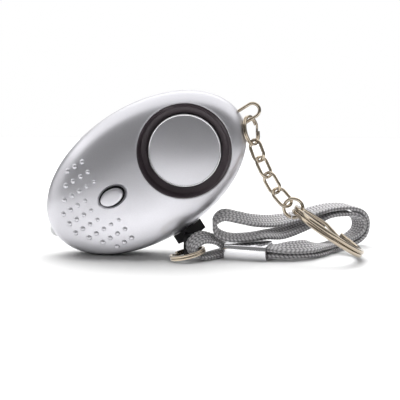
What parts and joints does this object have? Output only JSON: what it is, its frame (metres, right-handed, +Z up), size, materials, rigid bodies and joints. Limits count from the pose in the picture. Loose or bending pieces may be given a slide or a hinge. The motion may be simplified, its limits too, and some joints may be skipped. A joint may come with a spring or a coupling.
{
  "type": "personal safety alarm",
  "caption": "Palm-sized personal alarm: silver oval case with siren, light button and lamp, a pull pin on a woven wrist strap, and a short chain with a key ring.",
  "frame": {"origin": "on the floor, under the middle of the footprint of everything but the wrist strap", "axes": "+X from the lamp end towards the key ring, -Y out of the face with the siren, +Z up"},
  "size_m": [0.1045, 0.0396, 0.0522],
  "materials": {
    "silver_shell": "satin silver lacquer on moulded plastic",
    "black_plastic": "semi-gloss black moulding",
    "nickel": "bright nickel plate",
    "polished_steel": "polished steel",
    "cell_steel": "nickel-plated can",
    "strap_fabric": "woven grey webbing",
    "clear_lamp": "clear cast resin",
    "brass_sheet": "rolled sheet",
    "ceramic": "fired ceramic with a silvered face",
    "copper": "enamelled copper",
    "ferrite": "sintered ferrite",
    "board_green": "solder mask",
    "wire_red": "wire insulation"
  },
  "bodies": {
    "pin_and_strap": {"pull_pin": "black_plastic", "pin_ring": "nickel", "lanyard_neck": "strap_fabric", "lanyard_crimp": "polished_steel", "lanyard_lower_run": "strap_fabric", "lanyard_loop": "strap_fabric", "lanyard_upper_run": "strap_fabric"},
    "housing": {"front_shell": "silver_shell", "rear_shell": "silver_shell", "speaker_ring": "black_plastic", "speaker_cap": "silver_shell", "siren_plate": "brass_sheet", "siren_ceramic": "ceramic", "siren_retainer": "black_plastic", "siren_wires": "wire_red", "light_switch": "black_plastic", "circuit_board": "board_green", "boost_coil_core": "ferrite", "boost_coil_winding": "copper", "drive_transistor": "black_plastic", "control_chip": "black_plastic", "lamp": "clear_lamp", "lamp_leads": "polished_steel", "alarm_contact": "copper", "alarm_contact_base": "brass_sheet", "battery_tray": "black_plastic", "battery_1": "cell_steel", "battery_2": "cell_steel", "battery_3": "cell_steel", "battery_straps": "polished_steel", "case_screws": "polished_steel", "wire_bail": "nickel"},
    "light_button": {"light_button": "silver_shell", "switch_plunger": "black_plastic"},
    "bail_ring": {"bail_ring": "nickel"},
    "chain_link_1": {"chain_link_1": "nickel"},
    "chain_link_2": {"chain_link_2": "nickel"},
    "chain_link_3": {"chain_link_3": "nickel"},
    "chain_link_4": {"chain_link_4": "nickel"},
    "jump_ring": {"jump_ring": "nickel"},
    "key_ring": {"key_ring": "nickel"}
  },
  "joints": [
    {"name": "pin_pull", "type": "slide", "parent": "pin_and_strap", "child": "housing", "axis": [-0.5373, 0, 0.8434], "range_m": [0, 0.014]},
    {"name": "light_button_press", "type": "slide", "parent": "housing", "child": "light_button", "axis": [0, 1, 0], "range_m": [0, 0.0005], "stiffness_N_per_m": 800},
    {"name": "bail_ring_swing", "type": "hinge", "parent": "housing", "child": "bail_ring", "pos_m": [0.0139, 0.00411, 0.0428], "axis": [0, -1, 0], "range_deg": [0, 30]},
    {"name": "chain_link_1_swing", "type": "hinge", "parent": "bail_ring", "child": "chain_link_1", "pos_m": [0.01542, 0.0034, 0.03601], "axis": [0, -1, 0], "range_deg": [0, 20]},
    {"name": "chain_link_2_swing", "type": "hinge", "parent": "chain_link_1", "child": "chain_link_2", "pos_m": [0.01739, 0.00215, 0.03091], "axis": [0, -1, 0], "range_deg": [0, 20]},
    {"name": "chain_link_3_swing", "type": "hinge", "parent": "chain_link_2", "child": "chain_link_3", "pos_m": [0.01976, 0.00092, 0.02599], "axis": [0, -1, 0], "range_deg": [0, 20]},
    {"name": "chain_link_4_swing", "type": "hinge", "parent": "chain_link_3", "child": "chain_link_4", "pos_m": [0.02254, -0.00011, 0.02124], "axis": [0, -1, 0], "range_deg": [0, 20]},
    {"name": "jump_ring_swing", "type": "hinge", "parent": "chain_link_4", "child": "jump_ring", "pos_m": [0.02612, -0.0019, 0.01733], "axis": [0, -1, 0], "range_deg": [0, 12]},
    {"name": "key_ring_swing", "type": "hinge", "parent": "jump_ring", "child": "key_ring", "pos_m": [0.02781, -0.00211, 0.01606], "axis": [0, -1, 0], "range_deg": [0, 40]}
  ]
}
